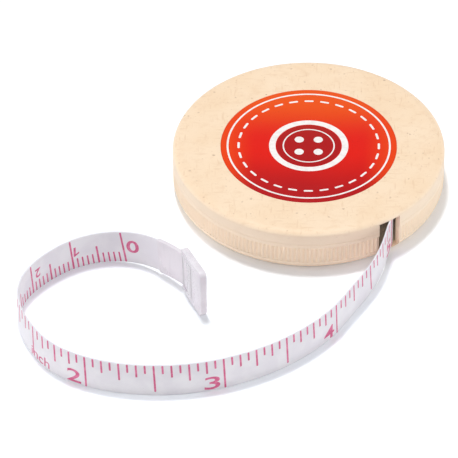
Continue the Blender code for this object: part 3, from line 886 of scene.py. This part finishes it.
# fine moulded texture: a height, and a roughness that follows it
moulded, ins, outs = newGroup(
    "mouldedSkin",
    (
        ("Vector", "NodeSocketVector", None),
        ("Grain", "NodeSocketFloat", 3000.0),
        ("Rough", "NodeSocketFloat", 0.5),
    ),
    (("Height", "NodeSocketFloat"), ("Roughness", "NodeSocketFloat")),
)
fine = noise(moulded, ins["Vector"], ins["Grain"], 3.0)
broad = noise(moulded, ins["Vector"], 130.0, 2.0)
moulded.links.new(maths(moulded, "MULTIPLY_ADD", broad, 0.35, fine), outs["Height"])
spread = maths(moulded, "MULTIPLY_ADD", maths(moulded, "SUBTRACT", broad, 0.5), 0.25, ins["Rough"])
spread = maths(moulded, "MULTIPLY_ADD", maths(moulded, "SUBTRACT", fine, 0.5), 0.12, spread)
moulded.links.new(spread, outs["Roughness"])

# specks of one size: a mask from scattered cells
specks, ins, outs = newGroup(
    "speckScatter",
    (
        ("Vector", "NodeSocketVector", None),
        ("Density", "NodeSocketFloat", 500.0),
        ("Size", "NodeSocketFloat", 0.12),
        ("Share", "NodeSocketFloat", 0.5),
    ),
    (("Mask", "NodeSocketFloat"),),
)
wobble = addNode(specks, "ShaderNodeTexNoise", {"Vector": ins["Vector"], "Scale": 1700.0, "Detail": 1.0})
shift = vectorMaths(specks, "MULTIPLY", wobble.outputs["Color"], (0.00045, 0.00045, 0.00045))
moved = vectorMaths(specks, "ADD", ins["Vector"], shift)
cells = addNode(specks, "ShaderNodeTexVoronoi", {"Vector": moved, "Scale": ins["Density"]})
spare = addNode(specks, "ShaderNodeSeparateColor", {"Color": cells.outputs["Color"]}).outputs
kept = ramp(specks, spare[0], ins["Share"], maths(specks, "ADD", ins["Share"], 0.05))
grown = maths(specks, "MULTIPLY", ins["Size"], maths(specks, "ADD", spare[1], 0.5))
speck = ramp(specks, cells.outputs["Distance"], maths(specks, "MULTIPLY", grown, 0.3), grown, 1.0, 0.0)
specks.links.new(maths(specks, "MULTIPLY", speck, kept), outs["Mask"])

# fine parallel lines along one axis of the vector
hairlines, ins, outs = newGroup(
    "hairlines",
    (
        ("Vector", "NodeSocketVector", None),
        ("Fineness", "NodeSocketFloat", 4000.0),
        ("Rough", "NodeSocketFloat", 0.3),
    ),
    (("Height", "NodeSocketFloat"), ("Roughness", "NodeSocketFloat")),
)
drawn = stretched(hairlines, ins["Vector"], (1, 1, 0.04))
hair = noise(hairlines, drawn, ins["Fineness"], 3.0)
hairlines.links.new(hair, outs["Height"])
hairlines.links.new(maths(hairlines, "MULTIPLY_ADD", hair, 0.2, ins["Rough"]), outs["Roughness"])


def newMaterial(name):
    material = bpy.data.materials.new(name)
    material.use_nodes = True
    tree = material.node_tree
    shader = tree.nodes["Principled BSDF"]
    vector = tree.nodes.new("ShaderNodeTexCoord").outputs["Object"]
    return material, tree, shader, vector


def bumped(tree, shader, height, strength, distance):
    node = addNode(tree, "ShaderNodeBump", {"Height": height, "Strength": strength, "Distance": distance})
    tree.links.new(node.outputs["Normal"], shader.inputs["Normal"])


def mottled(tree, vector, scale, detail, a, b):
    # two close colours in soft patches
    return blended(tree, ramp(tree, noise(tree, vector, scale, detail), 0.35, 0.65), a, b)


def speckled(tree, vector, color, density, size, share, strength, tint):
    inputs = {"Vector": vector, "Density": density, "Size": size, "Share": share}
    mask = filledGroup(tree, specks, inputs)["Mask"]
    return blended(tree, maths(tree, "MULTIPLY", mask, strength), color, tint)


def skinned(tree, shader, vector, color, grain, rough, strength, distance, relief=None):
    # the colour on a moulded surface; relief is a height of its own under the fine texture
    tree.links.new(color, shader.inputs["Base Color"])
    skin = filledGroup(tree, moulded, {"Vector": vector, "Grain": grain, "Rough": rough})
    tree.links.new(skin["Roughness"], shader.inputs["Roughness"])
    height = skin["Height"]
    if relief is not None:
        height = maths(tree, "MULTIPLY_ADD", relief, 0.8, height)
    bumped(tree, shader, height, strength, distance)


def placeAndReach(tree, vector):
    # where a point is, and how far from the case's axis
    place = addNode(tree, "ShaderNodeSeparateXYZ", {"Vector": vector}).outputs
    flat = addNode(tree, "ShaderNodeCombineXYZ", {"X": place["X"], "Y": place["Y"]}).outputs[0]
    return place, addNode(tree, "ShaderNodeVectorMath", {0: flat}, operation="LENGTH").outputs["Value"]


def seenStraight(tree):
    # 1 for what the camera sees, also in a reflection or through the object, and 0 for the light it sends
    paths = tree.nodes.new("ShaderNodeLightPath").outputs
    seen = maths(tree, "MAXIMUM", paths["Is Camera Ray"], paths["Is Glossy Ray"])
    return maths(tree, "MAXIMUM", seen, paths["Is Transmission Ray"])


def makeStraw():
    # warm cream plastic filled with ground straw: soft flecks, a few darker ones and short pale fibres
    material, tree, shader, vector = newMaterial("strawPlastic")
    broad = ramp(tree, noise(tree, vector, 110.0, 3.0), 0.32, 0.68)
    color = blended(tree, broad, srgb(247, 220, 188), srgb(250, 226, 197))
    cloud = ramp(tree, noise(tree, vector, 620.0, 4.0, 0.65), 0.46, 0.74)
    color = blended(tree, maths(tree, "MULTIPLY", cloud, 0.34), color, srgb(231, 197, 161))
    fibre = noise(tree, stretched(tree, vector, (1, 0.16, 1), (0, 0, 25)), 1900.0, 1.0)
    other = noise(tree, stretched(tree, vector, (0.16, 1, 1), (0, 0, -20)), 1900.0, 1.0)
    strands = maths(tree, "MAXIMUM", ramp(tree, fibre, 0.62, 0.76), ramp(tree, other, 0.62, 0.76))
    color = blended(tree, maths(tree, "MULTIPLY", strands, 0.4), color, srgb(228, 194, 158))
    for look in (
        # density, size, share, strength, tint
        (1500.0, 0.22, 0.45, 0.26, srgb(198, 160, 124)),
        (700.0, 0.16, 0.5, 0.36, srgb(172, 134, 102)),
        (410.0, 0.1, 0.62, 0.5, srgb(150, 112, 84)),
        (260.0, 0.055, 0.72, 0.62, srgb(112, 80, 60)),
    ):
        color = speckled(tree, vector, color, *look)
    # handled paler round the side
    # painted light: the side wall, out from the axis and below the top's rim, is made paler so that it looks
    # as lit as the top
    place, reach = placeAndReach(tree, vector)
    side = maths(tree, "MULTIPLY", ramp(tree, reach, 0.0236, 0.0249), ramp(tree, place["Z"], 0.009, 0.0078))
    color = blended(tree, maths(tree, "MULTIPLY", side, 0.75), color, srgb(255, 236, 214))
    skinned(tree, shader, vector, color, 2600.0, 0.5, 0.25, 0.00004)
    shader.inputs["Specular IOR Level"].default_value = 0.3
    return material


def makePrint():
    # orange at the top to deep red at the bottom and in the middle, with a fine screen
    material, tree, shader, vector = newMaterial("panelPrint")
    place, reach = placeAndReach(tree, vector)
    drift = maths(tree, "MULTIPLY_ADD", noise(tree, vector, 60.0, 2.0), 0.004, place["Y"])
    color = blended(tree, ramp(tree, drift, 0.0165, 0.003), srgb(238, 84, 8), srgb(226, 24, 8))
    color = blended(tree, ramp(tree, drift, 0.001, -0.012), color, srgb(176, 10, 16))
    side = ramp(tree, maths(tree, "ABSOLUTE", place["X"]), 0.0095, 0.0162)
    color = blended(tree, maths(tree, "MULTIPLY", side, 0.85), color, srgb(237, 72, 12))
    core = ramp(tree, reach, 0.0061, 0.0059)
    color = blended(tree, maths(tree, "MULTIPLY", core, 0.75), color, srgb(150, 8, 18))
    color = speckled(tree, vector, color, 2600.0, 0.3, 0.4, 0.1, srgb(120, 10, 18))
    skinned(tree, shader, vector, color, 2200.0, 0.4, 0.12, 0.00002)
    shader.inputs["Specular IOR Level"].default_value = 0.1
    shader.inputs["Coat Weight"].default_value = 0.08
    shader.inputs["Coat Roughness"].default_value = 0.12
    return material


def alongStrip(tree):
    # how far along the strip, and how high, in metres
    return addNode(tree, "ShaderNodeUVMap", uv_map="UVMap").outputs["UV"]


def makeInk(name, base, worn, rough):
    # worn in patches, with pinholes that show the coating
    material, tree, shader, vector = newMaterial(name)
    patch = ramp(tree, noise(tree, vector, 900.0, 4.0, 0.65), 0.42, 0.62)
    color = blended(tree, patch, base, worn)
    color = speckled(tree, vector, color, 6000.0, 0.24, 0.55, 0.3, srgb(236, 226, 230))
    skinned(tree, shader, vector, color, 5000.0, rough, 0.2, 0.00001)
    return material


def makeTapeCoat():
    # a woven core, its threads about half a millimetre apart, shows faintly through its white coating
    material, tree, shader, vector = newMaterial("tapeCoating")
    place = addNode(tree, "ShaderNodeSeparateXYZ", {"Vector": alongStrip(tree)}).outputs
    rows = maths(tree, "SINE", maths(tree, "MULTIPLY", place["Y"], 2 * math.pi / 0.00042))
    warp = maths(tree, "SINE", maths(tree, "MULTIPLY", place["X"], 2 * math.pi / 0.00055))
    weave = maths(tree, "MULTIPLY_ADD", maths(tree, "MULTIPLY", rows, warp), 0.5, 0.5)
    color = mottled(tree, vector, 260.0, 3.0, srgb(233, 230, 237), srgb(240, 238, 243))
    color = blended(tree, maths(tree, "MULTIPLY", weave, 0.10), color, srgb(214, 210, 222))
    color = speckled(tree, vector, color, 900.0, 0.08, 0.75, 0.2, srgb(170, 164, 172))
    skinned(tree, shader, vector, color, 4200.0, 0.42, 0.3, 0.00001, weave)
    return material


def makeTabPlastic():
    material, tree, shader, vector = newMaterial("tabPlastic")
    color = mottled(tree, vector, 200.0, 2.0, srgb(226, 221, 228), srgb(234, 230, 236))
    flow = noise(tree, stretched(tree, vector, (1, 1, 0.2)), 1100.0, 2.0)
    streaks = maths(tree, "MULTIPLY", ramp(tree, flow, 0.5, 0.75), 0.25)
    color = blended(tree, streaks, color, srgb(212, 206, 217))
    skinned(tree, shader, vector, color, 3500.0, 0.3, 0.15, 0.00002)
    shader.inputs["Subsurface Weight"].default_value = 0.35
    shader.inputs["Subsurface Radius"].default_value = (1.0, 0.9, 0.95)
    shader.inputs["Subsurface Scale"].default_value = 0.0008
    return material


def makeDarkPlastic():
    material, tree, shader, vector = newMaterial("darkPlastic")
    color = mottled(tree, vector, 300.0, 3.0, srgb(48, 48, 51), srgb(60, 60, 63))
    color = speckled(tree, vector, color, 1400.0, 0.12, 0.6, 0.3, srgb(120, 118, 116))
    skinned(tree, shader, vector, color, 2600.0, 0.5, 0.25, 0.00004)
    return material


def makeRubber():
    material, tree, shader, vector = newMaterial("rubberRing")
    color = mottled(tree, vector, 500.0, 3.0, srgb(30, 30, 31), srgb(44, 43, 43))
    color = speckled(tree, vector, color, 2200.0, 0.2, 0.5, 0.25, srgb(104, 102, 100))
    skinned(tree, shader, vector, color, 3800.0, 0.8, 0.35, 0.00004)
    return material


def makeSteel(name, tint, worn, rough, turn):
    material, tree, shader, vector = newMaterial(name)
    lines = filledGroup(tree, hairlines, {"Vector": stretched(tree, vector, (1, 1, 1), turn), "Rough": rough})
    stain = ramp(tree, noise(tree, vector, 350.0, 4.0, 0.6), 0.45, 0.7)
    color = blended(tree, maths(tree, "MULTIPLY", stain, 0.6), tint, worn)
    tree.links.new(color, shader.inputs["Base Color"])
    tree.links.new(lines["Roughness"], shader.inputs["Roughness"])
    bumped(tree, shader, lines["Height"], 0.15, 0.00001)
    shader.inputs["Metallic"].default_value = 1.0
    return material


straw = makeStraw()
panelPrint = makePrint()
crimsonInk = makeInk("crimsonInk", srgb(211, 90, 135), srgb(226, 122, 162), 0.45)
whiteInk = makeInk("whiteInk", srgb(250, 247, 244), srgb(240, 234, 232), 0.35)
tapeCoat = makeTapeCoat()
tabPlastic = makeTabPlastic()
darkPlastic = makeDarkPlastic()
rubber = makeRubber()
springSteel = makeSteel("springSteel", srgb(176, 178, 184), srgb(140, 138, 140), 0.22, (0, 90, 0))
wireSteel = makeSteel("wireSteel", srgb(196, 196, 198), srgb(160, 156, 152), 0.25, (90, 0, 0))

looks = {
    caseTop: straw,
    caseBase: straw,
    button: straw,
    disc: panelPrint,
    motif: whiteInk,
    tape: tapeCoat,
    woundTape: tapeCoat,
    inchScale: crimsonInk,
    cmScale: crimsonInk,
    endTab: tabPlastic,
    mainSpring: springSteel,
    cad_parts["spool"]: straw,
    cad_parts["brake_disc"]: darkPlastic,
    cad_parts["friction_ring"]: rubber,
    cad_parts["button_spring"]: wireSteel,
    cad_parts["tape_rivet"]: wireSteel,
    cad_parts["spring_cover"]: springSteel,
}
for piece, look in looks.items():
    if piece.material_slots:
        for place in piece.material_slots:
            place.material = look
    else:
        piece.data.materials.append(look)
print("materials on")


for piece, body, slotName, nodes in (
    (caseTop, "case", "straw_plastic", ("top_cover",)),
    (caseBase, "case", "straw_plastic", ("base_cover",)),
    (disc, "case", "print", ("printed_disc",)),
    (motif, "case", "print", ()),
    (button, "button", "straw_plastic", ("push_button",)),
    (tape, "tape_run", "tape_white", ("tape",)),
    (inchScale, "tape_run", "print", ()),
    (cmScale, "tape_run", "print", ()),
    (endTab, "tape_run", "tab_plastic", ("end_tab",)),
    (woundTape, "reel", "tape_white", ("tape_coil",)),
    (mainSpring, "case", "steel", ("mainspring",)),
):
    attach(piece, body)
    if nodes:
        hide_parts(*nodes)


floorLook = {
    "size": 6,
    "sent": (0.92, 0.92, 0.92, 1),  # the colour of the light that it sends to the object
    "seen": (1.06, 1.1, 1.15, 1),
}


def makeFloorLook():
    material, tree, shader, _ = newMaterial("paperFloor")
    color = blended(tree, seenStraight(tree), floorLook["sent"], floorLook["seen"])
    paper = addNode(tree, "ShaderNodeBsdfDiffuse", {"Color": color})
    tree.links.new(paper.outputs[0], tree.nodes["Material Output"].inputs["Surface"])
    tree.nodes.remove(shader)
    return material


bpy.ops.mesh.primitive_plane_add(size=floorLook["size"], location=(0, 0, 0))
floor = named("paperFloor")
floor.data.materials.append(makeFloorLook())

lightLook = {
    "sky": 0.25,
    # name, place, size, and how much light it gives the floor at the object
    "lamps": (
        ("keyLight", (-0.13, 0.27, 1.5), 0.22, 0.5),
        ("leftFill", (-1.5, -0.2, 0.4), 0.7, 0.08),
        ("rightFill", (1.5, -0.2, 0.4), 0.7, 0.075),
        ("frontFill", (0.03, -1.2, 1.03), 0.3, 0.13),
    ),
}
world = bpy.data.worlds.new("studio")
scene.world = world
world.use_nodes = True
tree = world.node_tree
background = tree.nodes["Background"]
tree.links.new(ramp(tree, seenStraight(tree), 0.0, 1.0, lightLook["sky"], 1.0), background.inputs["Strength"])
background.inputs["Color"].default_value = (1, 1, 1, 1)

for name, place, size, level in lightLook["lamps"]:
    lampPlace = Vector(place)
    bpy.ops.object.light_add(type="AREA", location=lampPlace)
    lamp = bpy.context.object
    lamp.name = name
    lamp.data.shape = "DISK"
    lamp.data.size = size
    lamp.rotation_euler = (-lampPlace).to_track_quat("-Z", "Y").to_euler()
    # the power that gives that much light on the floor at the object
    lamp.data.energy = level * math.pi**2 * lampPlace.length**2 / (lampPlace.z / lampPlace.length)
print("floor and light set")

scene.view_settings.view_transform = "Standard"
